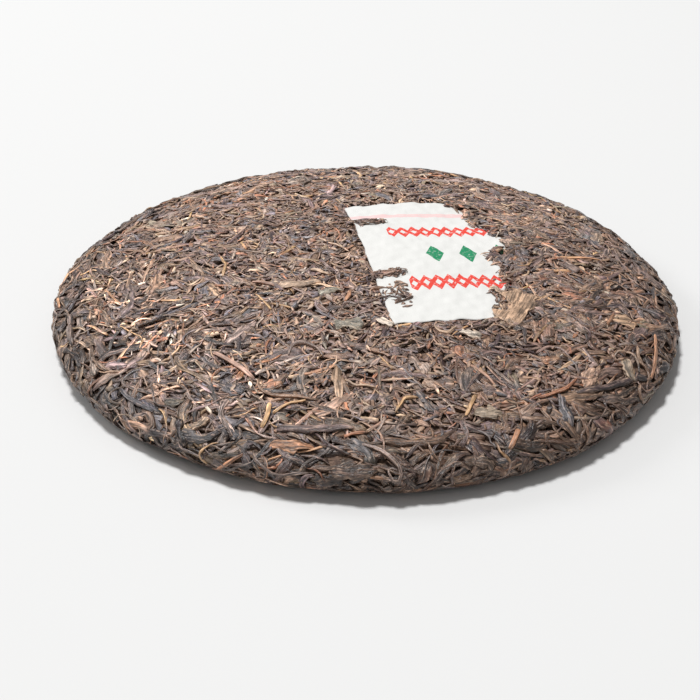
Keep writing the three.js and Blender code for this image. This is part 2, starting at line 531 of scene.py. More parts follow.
def pick(rng, n, palette):
    """A colour for each leaf, from (colour, share) pairs, each a little off its pure tone."""
    colours = np.array([colour for colour, _ in palette])
    shares = np.array([share for _, share in palette], float)
    chosen = colours[rng.choice(len(colours), n, p=shares / shares.sum())]
    return chosen * np.exp(rng.normal(0, TONE_SPREAD, (n, 1))) * np.exp(rng.normal(0, HUE_SPREAD, (n, 3)))


def drift(rng, n, count, knots, scale):
    """Random values that change slowly along each of n leaves."""
    coarse = rng.normal(0, scale, (n, knots))
    at = np.linspace(0, knots - 1, count)
    i = np.minimum(at.astype(int), knots - 2)
    return coarse[:, i] * (1 - (at - i)) + coarse[:, i + 1] * (at - i)


BEND_KNOTS = 5
SLOW_KNOTS = 4
LUMP_KNOTS = 6
HOOK_SHARE = 0.5  # of the leaves, which curl most round one place
HOOK_PLACE = (0.2, 0.8)
HOOK_REACH = 0.25
CURL_LEAST = 0.4
CURL_HOOK = 1.6
KINKS = 2


def curved(rng, n, steps, kind, length):
    """Turn at each step of each path: a slow bend, a steady curl for the wiry kinds, and sharp kinks."""
    bend = drift(rng, n, steps, BEND_KNOTS, kind["bend"])
    hooked = rng.random((n, 1)) < HOOK_SHARE
    place = rng.uniform(*HOOK_PLACE, (n, 1))
    near = np.exp(-(((np.linspace(0, 1, steps) - place) / HOOK_REACH) ** 2))
    curl = rng.normal(0, 1, (n, 1)) * kind.get("curl", 0) * (CURL_LEAST + CURL_HOOK * near * hooked)
    kinks = np.zeros((n, steps))
    for _ in range(KINKS):
        spot = rng.integers(2, steps - 2, n)
        kinks[np.arange(n), spot] += rng.normal(0, kind["kink"], n)
    return (bend + curl) * (length / steps)[:, None] + kinks


def store(name, path, kept, middle, sizes, taper, **rest):
    """Keeps what the mesh of these leaves is made from."""
    rows = {key: value[kept][:, ::FINE] for key, value in path.items()}
    rows.update({key: value[kept] for key, value in sizes.items()})
    rows.update(middle=middle[:, ::FINE], taper=taper[kept][:, ::FINE], **rest)
    leaves[name].append(rows)


MIDDLE_FADE = (40, 88)  # arc lengths between which the leaves grow to their full size
UNDER_GROWTH = 0.35  # of the coarser leaves of the underside
UNDER_START = (104, 114)
SHORT_BIAS = 1.3  # towards the smaller lengths and widths
THICK_LIMITS = (0.8, 1.2)
CUT_RANGE = (0.06, 0.36)  # share of a leaf's length that each end tapers over
TIP_SPREAD = 0.15
TIP_LIMITS = (0.08, 0.95)
DIVE_DEPTH = 0.7
DIVE_SHARE = 0.6
EMBED = 0.25


def leaf_size(kind, s):
    """Size against that at the rim: less in the middle of the top and more on the underside."""
    grown = (1 - kind["middle"]) * smoothstep(s, *MIDDLE_FADE)
    return kind["middle"] + grown + UNDER_GROWTH * smoothstep(s, *UNDER_START)


def lay(name, chart, seed, tries, keep, spread, level, room, where=None, palette=None):
    """Scatters one kind of leaf over a face or a patch and keeps those that find room."""
    kind, rng = KINDS[name], np.random.default_rng(seed)
    s, phi = spread(rng, tries)
    size = leaf_size(kind, s)
    length = between(rng, kind["length"], tries, SHORT_BIAS) * size
    width = between(rng, kind["width"], tries, SHORT_BIAS) * size
    thick = between(rng, kind["thick"], tries) * np.clip(width / np.mean(kind["width"]), *THICK_LIMITS)
    sizes = {"length": length, "width": width, "thick": thick}
    steps = kind["rings"] * FINE
    path = walk(s, phi, headings(rng, s, phi), curved(rng, tries, steps, kind, length), length / steps)
    if where is not None:
        good = where(path)
        path = {key: value[good] for key, value in path.items()}
        sizes = {key: value[good] for key, value in sizes.items()}
    n = len(path["s"])
    u = np.linspace(0, 1, steps + 1)
    cut = rng.uniform(*CUT_RANGE, (2, n, 1))
    tip = np.clip(rng.normal(kind["tip"], TIP_SPREAD, (n, 1)), *TIP_LIMITS)
    taper = ends(u, cut[0], cut[1], tip)
    dive = rng.uniform(0, DIVE_DEPTH, (n, 2)) * (rng.random((n, 2)) < DIVE_SHARE) * sizes["thick"][:, None]
    kept, middle = settle(chart, path, sizes, taper, level, room, dive, keep, EMBED)
    if len(kept):
        tint, second = (pick(rng, len(kept), palette or kind["palette"]) for _ in range(2))
        colours = {"tint": tint, "second": second, "painted_shade_share": 1.0}
        store(name, path, kept, middle, sizes, taper, limit=level, rng=rng, **colours)


def trace(pixels, steps):
    """A path along the cake through what shows at some pixels, with its corners rounded, and its length."""
    nearest = [int(((SEEN_PIXEL - pixel) ** 2).sum(-1).argmin()) for pixel in pixels]
    s, phi = SEEN_S[nearest], SEEN_PHI[nearest]
    p, _ = surface(s, phi)
    along = np.concatenate([[0], np.cumsum(np.linalg.norm(np.diff(p, axis=0), axis=1))])
    even = np.linspace(0, along[-1], steps + 1)
    p = np.stack([smooth_rows(np.interp(even, along, p[:, k]), PATH_SMOOTHING) for k in range(3)], 1)
    s, phi = locate(p, np.interp(even, along, s))
    p, normal = surface(s, phi)
    t = np.gradient(p, axis=0)
    t = t - (t * normal).sum(-1, keepdims=True) * normal
    t = t / np.linalg.norm(t, axis=-1, keepdims=True)
    path = {"p": p, "t": t, "n": normal, "side": np.cross(normal, t), "s": s}
    return {key: value[None] for key, value in path.items()}, along[-1:]


ANY_ROOM = -10.0  # a chosen leaf is laid wherever it is
PLACED_CUT = (0.2, 0.25)
PLACED_DIVE = 0.35
PLACED_EMBED = 0.2
PLACED_SECOND = 0.8
PLACED_SHADE_SHARE = 0.35  # a chosen leaf takes less of the painted shade than the others do


def place(chart, seed, name, tone, width, thick, *pixels):
    """Lays one chosen leaf on the others."""
    kind = KINDS[name]
    steps = kind["rings"] * FINE
    path, length = trace(pixels, steps)
    sizes = {"length": length, "width": np.array([width]), "thick": np.array([thick])}
    taper = ends(np.linspace(0, 1, steps + 1), *PLACED_CUT, kind["tip"])[None]
    dive = np.full((1, 2), PLACED_DIVE * thick)
    kept, middle = settle(chart, path, sizes, taper, placed_level, ANY_ROOM, dive, 1, PLACED_EMBED)
    colours = {"tint": tone[None], "second": tone[None] * PLACED_SECOND, "painted_shade_share": PLACED_SHADE_SHARE}
    rng = np.random.default_rng(seed)
    store(name, path, kept, middle, sizes, taper, limit=placed_level, rng=rng, **colours)


TOP_SOFTNESS = 0.18
# Pale tone of the leaves' own edges and flecks, also used for the painted highlight on wrinkle crests
PALE_EDGE_AND_HIGHLIGHT = srgb(235, 202, 175)
TURN = 6.3  # about a full turn
CREASE_SPREAD = (0.6, 1.4)
FOLD_ROUGHNESS = 0.05
RIPPLES_ALONG = (2, 9)
RIPPLES_ACROSS = (0.6, 1.8)
GRAIN_OFFSET = 500  # so that no two leaves have the same grain


def folds(rng, kind, n, u, angle):
    """How far each point is from the bottom, 0, to the crest, 1, of the folds that run along a leaf."""
    if "twist" in kind:
        turn = rng.normal(0, kind["twist"], (n, 1, 1)) * u[None, :, None] + rng.uniform(0, TURN, (n, 1, 1))
        return np.abs(np.cos(angle + turn))
    ridges = [rng.random((n, 1, len(angle))) for _ in range(3)]
    early, late = smoothstep(u, 0, 0.5)[:, None], smoothstep(u, 0.5, 1)[:, None]
    ridge = (ridges[0] * (1 - early) + ridges[1] * early) * (1 - late) + ridges[2] * late
    return 0.5 * (np.arange(len(angle)) % 2) + 0.5 * ridge


# Painted shade: the leaves' colour is darkened on the rim, and darkened and warmed towards the front right,
# where the light falls less
RIM_PAINTED_SHADE = 0.5
RIM_SHADE_FADE = (86, 99)  # arc lengths between which the painted shade of the rim comes in
PAINTED_SIDE_SHADE = np.array((0.69, 0.63, 0.59))
SIDE_SHADE_FADE = (-20, 100)
SIDE_SHADE_SLANT = 0.7
# The painted shade and light of the folds, and the tones between leaves, are harder towards the front left
LEFT_LIGHT_AND_TONE_CONTRAST = 0.9
LEFT_FADE = (40, 110)
LEFT_SLANT = 0.8
MIDDLE_TONE = 0.34
LEAF_CONTRAST = 0.7  # between whole leaves, against that within a leaf
FOLD_SHADE_AND_LIGHT = (0.34, 1.29)  # painted shade at the bottom of a fold and painted light on its crest
SHADE_SPREAD = 0.18
MIX_SPREAD = 0.6
MIX_FADE = (-0.4, 0.8)
EDGE_SPREAD = (0.4, 1.3)
EDGE_SHARPNESS = 4


def painted_shade_factor(rows):
    """How much of its colour a leaf keeps under painted shade: less on the rim, and less but warmer towards
    the front right.
    """
    across = rows["p"][..., 0] - SIDE_SHADE_SLANT * rows["p"][..., 1]
    side = 1 - (1 - PAINTED_SIDE_SHADE) * smoothstep(across, *SIDE_SHADE_FADE)[..., None]
    return side * (1 - (1 - RIM_PAINTED_SHADE) * smoothstep(rows["s"], *RIM_SHADE_FADE))[..., None]


def light_and_tone_contrast(rows):
    """How much harder the painted shade and light of the folds, and the spread of tones between leaves, are:
    most at the front left.
    """
    across = -rows["p"][..., 0] - LEFT_SLANT * rows["p"][..., 1]
    return 1 + LEFT_LIGHT_AND_TONE_CONTRAST * smoothstep(across, *LEFT_FADE)[..., None]


def tints(rng, kind, rows, fold, angle):
    """Two tones that run into each other along a leaf, with painted shade in the folds, painted light on
    their crests and paler edges; painted shade also darkens the rim and the front right.
    """
    n, rings, _ = fold.shape
    share = smoothstep(drift(rng, n, rings, SLOW_KNOTS, MIX_SPREAD), *MIX_FADE)[:, :, None, None]
    base = rows["tint"][:, None, None] * (1 - share) + rows["second"][:, None, None] * share
    edge = kind["warm"] * rng.random((n, 1, 1)) * np.abs(np.cos(angle)) ** EDGE_SHARPNESS
    edge = (edge * rng.uniform(*EDGE_SPREAD, fold.shape))[..., None]
    bottom, crest = FOLD_SHADE_AND_LIGHT
    hard = light_and_tone_contrast(rows)
    # Painted shade at the bottom of each fold and painted light on its crest, harder towards the front left
    shade = ((bottom + (crest - bottom) * fold) * np.exp(rng.normal(0, SHADE_SPREAD, fold.shape))) ** hard
    base = base * (base.mean(-1, keepdims=True) / MIDDLE_TONE) ** (LEAF_CONTRAST * (hard[..., None] - 1))
    # Painted shade on the rim and towards the front right
    fade = painted_shade_factor(rows) ** rows["painted_shade_share"]
    return (base * (1 - edge) + PALE_EDGE_AND_HIGHLIGHT * edge) * shade[..., None] * fade[:, :, None]


def skin(kind, rows):
    """Points, colours and grain of all the leaves in rows: leaf, ring, side."""
    rng, n, rings, sides = rows["rng"], len(rows["width"]), kind["rings"] + 1, kind["sides"]
    angle = np.arange(sides) * 2 * np.pi / sides
    u = np.linspace(0, 1, rings)
    fold = folds(rng, kind, n, u, angle)
    depth = kind["crease"] * rng.uniform(*CREASE_SPREAD, (n, 1, 1))
    rho = 1 - depth * (1 - fold) + rng.normal(0, FOLD_ROUGHNESS, (n, rings, sides))
    torn = 1 + kind["ragged"] * rng.normal(0, 1, (n, rings, 2))
    size = rows["taper"] * np.exp(drift(rng, n, rings, LUMP_KNOTS, kind["lump"]))
    half = 0.5 * rows["width"][:, None] * size
    reach = np.where(np.cos(angle) > 0, torn[:, :, :1], torn[:, :, 1:]) * half[:, :, None]
    across = reach * np.cos(angle) * rho
    deep = 0.5 * (rows["thick"][:, None] * size)[:, :, None]
    lean = drift(rng, n, rings, SLOW_KNOTS, kind["lean"])[:, :, None] * np.cos(angle)
    up = deep * (np.sin(angle) * rho + lean)
    wave = rng.uniform(0, TURN, (n, 1, 1)) + u[None, :, None] * rng.uniform(*RIPPLES_ALONG, (n, 1, 1))
    up = up + kind.get("ripple", 0) * np.sin(wave + across * rng.uniform(*RIPPLES_ACROSS, (n, 1, 1)))
    base = rows["p"][:, :, None] + rows["side"][:, :, None] * across[..., None]
    s, phi = locate(base, rows["s"][:, :, None] + 0 * across)
    p, normal = surface(s, phi)
    height = soft_min(rows["middle"][:, :, None] + up, rows["limit"](p, s) + TOP_SOFTNESS, TOP_SOFTNESS)
    points = uneven(p + normal * height[..., None])
    offset = rng.uniform(0, GRAIN_OFFSET, (n, 1, 1, 3))
    along = (u * rows["length"][:, None])[:, :, None] + 0 * across
    return points, tints(rng, kind, rows, fold, angle), np.stack([along, across, up], -1) + offset


# Mesh making
def set_colours(mesh, name, colours):
    layer = mesh.attributes.new(name, "FLOAT_COLOR", "POINT")
    rgba = np.concatenate([colours, np.ones((len(colours), 1))], 1)
    layer.data.foreach_set("color", rgba.astype(np.float32).ravel())


def set_vectors(mesh, name, vectors):
    layer = mesh.attributes.new(name, "FLOAT_VECTOR", "POINT")
    layer.data.foreach_set("vector", vectors.astype(np.float32).ravel())


def add_object(name, data):
    added = bpy.data.objects.new(name, data)
    bpy.context.scene.collection.objects.link(added)
    return added


def new_mesh(name, points, corners, counts, uv=None):
    """A smooth-shaded mesh object, in metres, from millimetre points and runs of face corners."""
    mesh = bpy.data.meshes.new(name)
    mesh.vertices.add(len(points))
    mesh.vertices.foreach_set("co", (points * MM).astype(np.float32).ravel())
    mesh.loops.add(len(corners))
    mesh.loops.foreach_set("vertex_index", corners.astype(np.int32))
    mesh.polygons.add(len(counts))
    mesh.polygons.foreach_set("loop_start", (np.cumsum(counts) - counts).astype(np.int32))
    mesh.polygons.foreach_set("use_smooth", np.ones(len(counts), bool))
    if uv is not None:
        layer = mesh.uv_layers.new(name="OFBake")
        layer.uv.foreach_set("vector", uv.astype(np.float32).ravel())
    mesh.update(calc_edges=True)
    mesh.validate()
    return add_object(name, mesh)


# A tube's part of the map: its sides between margins, and its two end faces beside them
SIDES_U = (0.12, 0.76)
SIDES_V = (0.06, 0.88)
END_MIDDLES = (0.06, 0.94)
END_HALF = (0.03, 0.4)
TUBES_WIDE = 3  # a tube's part of the map is this many times as wide as high


def tube_faces(n, rings, sides):
    """Corners, face sizes and map places of n closed tubes of quads with a flat face at each end."""
    k, j = np.meshgrid(np.arange(rings - 1), np.arange(sides), indexing="ij")
    k, j = k.ravel(), j.ravel()
    after = (j + 1) % sides
    quads = np.stack([k * sides + j, k * sides + after, (k + 1) * sides + after, (k + 1) * sides + j], 1)
    quad_u = SIDES_U[0] + SIDES_U[1] * np.stack([k, k, k + 1, k + 1], 1) / (rings - 1)
    quad_v = SIDES_V[0] + SIDES_V[1] * np.stack([j, j + 1, j + 1, j], 1) / sides
    ring = np.arange(sides)
    angle = ring * 2 * np.pi / sides
    first, last = ring[::-1], ring + (rings - 1) * sides
    corners = np.concatenate([quads.ravel(), first, last])
    cap_u, cap_v = END_HALF[0] * np.cos(angle), 0.5 + END_HALF[1] * np.sin(angle)
    u = np.concatenate([quad_u.ravel(), END_MIDDLES[0] + cap_u[::-1], END_MIDDLES[1] + cap_u])
    v = np.concatenate([quad_v.ravel(), cap_v[::-1], cap_v])
    counts = np.concatenate([np.full(len(quads), 4), [sides, sides]])
    columns = max(1, round(math.sqrt(n / TUBES_WIDE)))
    rows = math.ceil(n / columns)
    leaf = np.arange(n)
    all_u = (leaf[:, None] % columns + u) / columns
    all_v = (leaf[:, None] // columns + v) / rows
    all_corners = (corners + leaf[:, None] * rings * sides).ravel()
    return all_corners, np.tile(counts, n), np.stack([all_u.ravel(), all_v.ravel()], 1)


def build_leaves(name):
    """Joins all the leaves of one kind into one mesh."""
    kind, parts = KINDS[name], leaves[name]
    rings, sides = kind["rings"] + 1, kind["sides"]
    made = [skin(kind, rows) for rows in parts]
    points = np.concatenate([m[0] for m in made])
    n = len(points)
    piece = new_mesh(name, points.reshape(-1, 3), *tube_faces(n, rings, sides))
    set_colours(piece.data, "tint", np.concatenate([m[1] for m in made]).reshape(-1, 3))
    set_vectors(piece.data, "grain", np.concatenate([m[2] for m in made]))
    return piece


# Materials
class Nodes:
    """A short way to write a material's nodes."""

    def __init__(self, name):
        self.material = bpy.data.materials.new(name)
        self.material.use_nodes = True
        self.tree = self.material.node_tree
        self.tree.nodes.clear()
        self.shader = self.add("ShaderNodeBsdfPrincipled")
        out = self.add("ShaderNodeOutputMaterial")
        self.tree.links.new(self.shader.outputs[0], out.inputs["Surface"])

    def put(self, socket, value):
        if isinstance(value, bpy.types.NodeSocket):
            self.tree.links.new(value, socket)
        else:
            socket.default_value = value

    def add(self, kind, inputs=None, **settings):
        """A new node: first its settings, and then values or other nodes' outputs for its inputs."""
        node = self.tree.nodes.new(kind)
        for key, value in settings.items():
            setattr(node, key, value)
        for key, value in (inputs or {}).items():
            self.put(node.inputs[key], value)
        return node

    def look(self, inputs):
        """Gives the shader its inputs."""
        for key, value in inputs.items():
            self.put(self.shader.inputs[key], value)
        return self.material

    def attribute(self, name, output):
        return self.add("ShaderNodeAttribute", attribute_name=name).outputs[output]

    def parts(self, vector):
        return self.add("ShaderNodeSeparateXYZ", {0: vector}).outputs

    def stretch(self, vector, scale):
        return self.add("ShaderNodeMapping", {"Vector": vector, "Scale": scale}).outputs[0]

    def noise(self, vector, scale, detail=3.0, rough=0.55, output="Fac"):
        inputs = {"Vector": vector, "Scale": scale, "Detail": detail, "Roughness": rough}
        return self.add("ShaderNodeTexNoise", inputs).outputs[output]

    def span(self, value, low, high, to_low, to_high):
        inputs = {"Value": value, "From Min": low, "From Max": high, "To Min": to_low, "To Max": to_high}
        return self.add("ShaderNodeMapRange", inputs).outputs[0]

    def math(self, how, a, b=0.0, c=0.0):
        return self.add("ShaderNodeMath", {0: a, 1: b, 2: c}, operation=how).outputs[0]

    def mix(self, share, a, b, how="MIX"):
        inputs = {0: share, 6: a, 7: b}
        return self.add("ShaderNodeMix", inputs, data_type="RGBA", blend_type=how).outputs[2]

    def bump(self, height, strength, distance):
        inputs = {"Height": height, "Strength": strength, "Distance": distance}
        return self.add("ShaderNodeBump", inputs).outputs[0]

    def scaled(self, colour, factor):
        """A colour times a grey factor."""
        return self.add("ShaderNodeVectorMath", {0: colour, "Scale": factor}, operation="SCALE").outputs[0]


BUMP_HEIGHT = 0.6


def leaf_material(name, streaks, contrast, rough, bump):
    """Dry leaf: fine wrinkles and streaks along it, pale flecks, painted shade in the wrinkles' hollows and a
    painted highlight on their crests, with a dull uneven gloss.
    """
    m = Nodes(name)
    grain = m.attribute("grain", "Vector")
    wrinkle = m.noise(m.stretch(grain, (0.16, streaks, streaks)), 1.0, 3.0, 0.6)
    mottle = m.noise(grain, 0.8, 4.0, 0.65)
    fleck = m.noise(m.stretch(grain, (0.5, 1.7, 1.7)), 1.0, 2.0)
    # Streaks along the leaf that also paint shade into the wrinkles' hollows and light onto their crests,
    # where the bump rises and falls
    streaks_and_wrinkle_shade = m.span(wrinkle, 0.38, 0.62, 1 - contrast, 1 + contrast)
    # Painted highlight on the wrinkles' crests; with the pale flecks it is mixed in the pale tone below
    crest = m.math("MULTIPLY", m.span(wrinkle, 0.56, 0.66, 0.0, 0.55), m.span(mottle, 0.42, 0.58, 0.0, 1.0))
    shade = m.math("MULTIPLY", streaks_and_wrinkle_shade, m.span(mottle, 0.3, 0.7, 0.78, 1.22))
    colour = m.scaled(m.attribute("tint", "Color"), shade)
    colour = m.mix(m.math("MAXIMUM", m.span(fleck, 0.6, 0.72, 0.0, 0.45), crest), colour, (*PALE_EDGE_AND_HIGHLIGHT, 1))
    height = m.math("ADD", wrinkle, m.math("MULTIPLY", mottle, 0.5))
    return m.look({
        "Base Color": colour,
        "Roughness": m.span(mottle, 0.3, 0.7, rough - 0.1, rough + 0.12),
        "Specular IOR Level": 0.7,
        "Normal": m.bump(height, bump, BUMP_HEIGHT * MM),
    })


def core_material():
    """Crushed leaf: small fragments of several tones, darkened as painted shade of the gaps between the
    leaves.
    """
    m = Nodes("pressed_core")
    place = m.add("ShaderNodeTexCoord").outputs["Object"]
    ruffled = m.mix(0.0022, place, m.noise(place, 260.0, 2.0, 0.5, "Color"), "ADD")
    cells = m.add("ShaderNodeTexVoronoi", {"Vector": m.stretch(ruffled, (420, 900, 700)), "Scale": 1.0})
    # Leaf tones darkened to about half: painted shade of the gaps in which the core shows
    colour = m.mix(m.parts(cells.outputs["Color"])[0], (*UMBER * 0.45, 1), (*BROWN * 0.6, 1))
    patch = m.noise(place, 2200.0)
    colour = m.scaled(colour, m.span(patch, 0.3, 0.7, 0.5, 1.3))
    height = m.math("SUBTRACT", m.math("MULTIPLY", patch, 0.6), cells.outputs["Distance"])
    return m.look({"Base Color": colour, "Roughness": 0.7, "Normal": m.bump(height, 0.9, BUMP_HEIGHT * MM)})


# The core of crushed leaf
CORE_ROUND = 160
CORE_ALONG = 96
CORE_END = 0.8  # arc length of its middle faces
CORE_LIFT = 0.1
CORE_BROAD = 0.45
CORE_FINE = 0.3


def build_core():
    phi = np.arange(CORE_ROUND) * 2 * np.pi / CORE_ROUND
    s = np.linspace(CORE_END, SECTION_LENGTH - CORE_END, CORE_ALONG)
    s, phi = np.meshgrid(s, phi, indexing="ij")
    p, normal = surface(s, phi)
    x, y, z = p[..., 0], p[..., 1], p[..., 2]
    rough = CORE_BROAD * waves(x, y, length=5, seed=21) + CORE_FINE * waves(y, z + x, length=2.4, seed=22)
    points = uneven(p - normal * (CORE_DEPTH - CORE_LIFT - rough)[..., None])
    corners, counts, _ = tube_faces(1, CORE_ALONG, CORE_ROUND)
    sides = 4 * (CORE_ALONG - 1) * CORE_ROUND
    quads = corners[:sides].reshape(-1, 4)[:, ::-1].ravel()
    caps = corners[sides:].reshape(2, -1)[:, ::-1].ravel()
    return new_mesh("tea_core", points.reshape(-1, 3), np.concatenate([quads, caps]), counts)


# The ticket
TICKET_MESH = 0.8
PAPER_THICKNESS = 0.16
EDGE_SWING = 0.35
BROAD_RELIEF = 0.2
FINE_RELIEF = 0.1
CREASE_RELIEF = 0.2
LEAST_RELIEF = -0.08


def paper_relief(u, v):
    """The leaves under the paper show through it, with a few soft creases."""
    broad = BROAD_RELIEF * waves(u + 40, v - 20, length=7, seed=31)
    fine = FINE_RELIEF * waves(u, v, length=3.1, seed=32)
    crease = CREASE_RELIEF * np.abs(waves(u - 9, v + 5, length=16, seed=35)) ** 0.5
    return np.maximum(broad + fine + crease + LEAST_RELIEF, LEAST_RELIEF)


def build_ticket():
    across = round(TICKET_WIDTH / TICKET_MESH)
    along = round(TICKET_LENGTH / TICKET_MESH)
    u, v = np.meshgrid(np.linspace(0, 1, across + 1), np.linspace(0, 1, along + 1), indexing="ij")
    edge_u = EDGE_SWING * waves(v * TICKET_LENGTH, v * 0, length=9, seed=33) * (1 - u)
    edge_v = EDGE_SWING * waves(u * TICKET_WIDTH, u * 0, length=8, seed=34) * (np.abs(v - 0.5) * 2) ** 4
    flat_u, flat_v = u * TICKET_WIDTH + edge_u, v * TICKET_LENGTH + edge_v
    x, y = ticket_point(flat_u, flat_v)
    top = top_height(np.hypot(x, y)) + paper_level(flat_u, flat_v) + paper_relief(flat_u, flat_v)
    sheets = [uneven(np.stack([x, y, top - depth], -1)).reshape(-1, 3) for depth in (0, PAPER_THICKNESS)]
    rows, columns = across + 1, along + 1
    i, j = np.meshgrid(np.arange(across), np.arange(along), indexing="ij")
    first = (i * columns + j).ravel()
    upper = np.stack([first, first + columns, first + columns + 1, first + 1], 1)
    shift = rows * columns
    faces = [upper, upper[:, ::-1] + shift]
    rim = np.concatenate([
        np.arange(across) * columns,
        across * columns + np.arange(along),
        (np.arange(across)[::-1] + 1) * columns + along,
        np.arange(along)[::-1] + 1,
    ])
    after = np.roll(rim, -1)
    faces.append(np.stack([after, rim, rim + shift, after + shift], 1))
    quads = np.concatenate(faces)
    piece = new_mesh("ticket_sheet", np.concatenate(sheets), quads.ravel(), np.full(len(quads), 4))
    grain = np.stack([flat_u, flat_v, flat_u * 0], -1).reshape(-1, 3)
    set_vectors(piece.data, "grain", np.concatenate([grain, grain]))
    return piece


# The ticket's print: two bands of red diamonds, a row of green lozenges between them and a faint stripe
BAND_V = (22.5, 58.0)
BAND_PITCH = 3.8
BAND_RISE = 6.0
BAND_LINE = 1.35
BAND_U = (10.0, 53.0)
LOZENGE_V = 40.5
LOZENGE_SPACING = 11.0
LOZENGE_SIZE = (3.0, 6.0)
LOZENGE_U = (16.5, 49.5)
STRIPE_V = 71.5
STRIPE_HALF = 1.3
RED_INK = srgb(232, 66, 50)
GREEN_INK = srgb(16, 138, 92)
PINK_INK = srgb(240, 206, 204)
PAPER_TONES = (srgb(226, 226, 222), srgb(236, 235, 232))
FIBRE_HEIGHT = 0.15


def ticket_material():
    m = Nodes("ticket_paper")
    grain = m.attribute("grain", "Vector")
    u, v = m.parts(grain)[:2]
    fibre = m.noise(m.stretch(grain, (1.0, 1.6, 1.0)), 2.2, 5.0, 0.6)
    broad = m.noise(grain, 0.12, 2.0)
    paper = m.mix(m.span(fibre, 0.3, 0.7, 0, 1), *((*tone, 1) for tone in PAPER_TONES))
    paper = m.scaled(paper, m.span(broad, 0.3, 0.7, 0.96, 1.0))

    def between_u(low, high):
        return m.math("COMPARE", u, (low + high) / 2, (high - low) / 2)

    zigzag = m.math("PINGPONG", u, BAND_PITCH)
    red = 0.0
    for band in BAND_V:
        for way in (1, -1):
            line = m.math("MULTIPLY_ADD", zigzag, way * BAND_RISE / BAND_PITCH, band - way * BAND_RISE / 2)
            red = m.math("MAXIMUM", red, m.math("COMPARE", v, line, BAND_LINE))
    red = m.math("MULTIPLY", red, between_u(*BAND_U))
    side = m.math("DIVIDE", m.math("PINGPONG", u, LOZENGE_SPACING / 2), LOZENGE_SIZE[0])
    rise = m.math("DIVIDE", m.math("ABSOLUTE", m.math("SUBTRACT", v, LOZENGE_V)), LOZENGE_SIZE[1])
    green = m.math("LESS_THAN", m.math("ADD", side, rise), 1.0)
    green = m.math("MULTIPLY", green, between_u(*LOZENGE_U))
    pink = m.math("COMPARE", v, STRIPE_V, STRIPE_HALF)
    wear = m.span(m.noise(grain, 0.9, 4.0, 0.7), 0.34, 0.46, 0.35, 1.0)
    colour = paper
    for mask, ink in ((pink, PINK_INK), (red, RED_INK), (green, GREEN_INK)):
        colour = m.mix(m.math("MULTIPLY", mask, wear), colour, (*ink, 1))
    return m.look({"Base Color": colour, "Roughness": 0.75, "Normal": m.bump(fibre, 0.25, FIBRE_HEIGHT * MM)})


# Laying the leaves: the top and the rim on one chart, the underside on another
top_chart = Chart(below=False, reach=150)
under_chart = Chart(below=True, reach=125)
TOP_RANGE = (0, 118)
UNDER_RANGE = (SECTION_LENGTH - 100, SECTION_LENGTH)


def ring(low, high):
    """Spreads starts over a face, between two arc lengths."""
    return lambda rng, n: starts(rng, n, low, high)


def oval(patch):
    """Spreads starts over an oval patch of the ticket."""
    u, v, half_u, half_v = patch

    def spread(rng, n):
        angle, far = rng.uniform(0, 2 * np.pi, n), np.sqrt(rng.random(n))
        return on_ticket(u + half_u * far * np.cos(angle), v + half_v * far * np.sin(angle))

    return spread


def clear_of_ticket(reach):
    """Leaves that go no further than this under the ticket."""

    def clear(path):
        d = ticket_distance(path["p"][..., 0], path["p"][..., 1])
        return ~((d < -reach) & (path["p"][..., 2] > RIM_MIDDLE)).any(1)

    return clear


COVER_REACH = 6.0  # of the covering leaves past the ticket
COVER_NEAR = 1.0  # of the uneven line, which each of them comes this near to
COVER_PAST = 1.2  # how far one of them may go past it
PATCH_MARGIN = 1.1


def over_hidden_part(path):
    """Leaves that cover the ticket's right part, up to an uneven line."""
    x, y = path["p"][..., 0], path["p"][..., 1]
    u, v = ticket_place(x, y)
    line, distance = shown_line(v), ticket_distance(x, y)
    near = (u > line - COVER_NEAR) & (distance < COVER_REACH)
    inside = (distance < 0) & (u < line - COVER_PAST)
    return near.any(1) & ~inside.any(1) & (path["p"][..., 2] > RIM_MIDDLE).all(1)


def within(patch):
    """Leaves that stay in an oval patch, or leave it over the ticket's left edge."""
    u, v, half_u, half_v = patch

    def stays(path):
        at_u, at_v = ticket_place(path["p"][..., 0], path["p"][..., 1])
        far = np.hypot((at_u - u) / half_u, (at_v - v) / half_v)
        return ((far < PATCH_MARGIN) | (at_u < 0)).all(1)

    return stays


def lay_face(chart, seed, spread, plan, level, where=None, palette=None):
    for number, (name, tries, keep, room) in enumerate(plan):
        lay(name, chart, seed + number, tries, keep, spread, level, room, where, palette)


# Plans: how many of a kind are tried and kept, and the room each needs, as a share of its thickness
BED_PLAN = (("bed_leaves", 9000, 1700, 0.3),)
TOP_PLAN = (
    ("rolled_leaves", 450, 120, 0.3),
    ("flat_leaves", 600, 100, 0.3),
    ("strands", 800, 150, 0.3),
    ("rolled_leaves", 3000, 220, 0.3),
    ("stems", 1500, 80, 0.35),
    ("strands", 6000, 340, 0.3),
    ("twists", 6000, 350, 0.3),
    ("flat_leaves", 5000, 150, 0.2),
    ("stems", 2500, 100, 0.25),
    ("twists", 8000, 370, 0.25),
    ("leaf_bits", 6000, 700, 0.12),
)
CRUMB_RANGE = (0, 88)
CRUMB_PLAN = (("leaf_bits", 26000, 2900, 0.12),)
COVER_RANGE = (0, 80)
COVER_PLAN = (
    ("bed_leaves", 3000, 50, 0.4),
    ("rolled_leaves", 6000, 60, -0.4),
    ("strands", 7000, 85, -0.4),
    ("flat_leaves", 5000, 40, -0.4),
    ("twists", 6000, 60, 0.0),
    ("stems", 3000, 20, 0.0),
    ("leaf_bits", 12000, 450, -0.1),
)
UNDER_BED_PLAN = (("bed_leaves", 3500, 735, 0.35),)
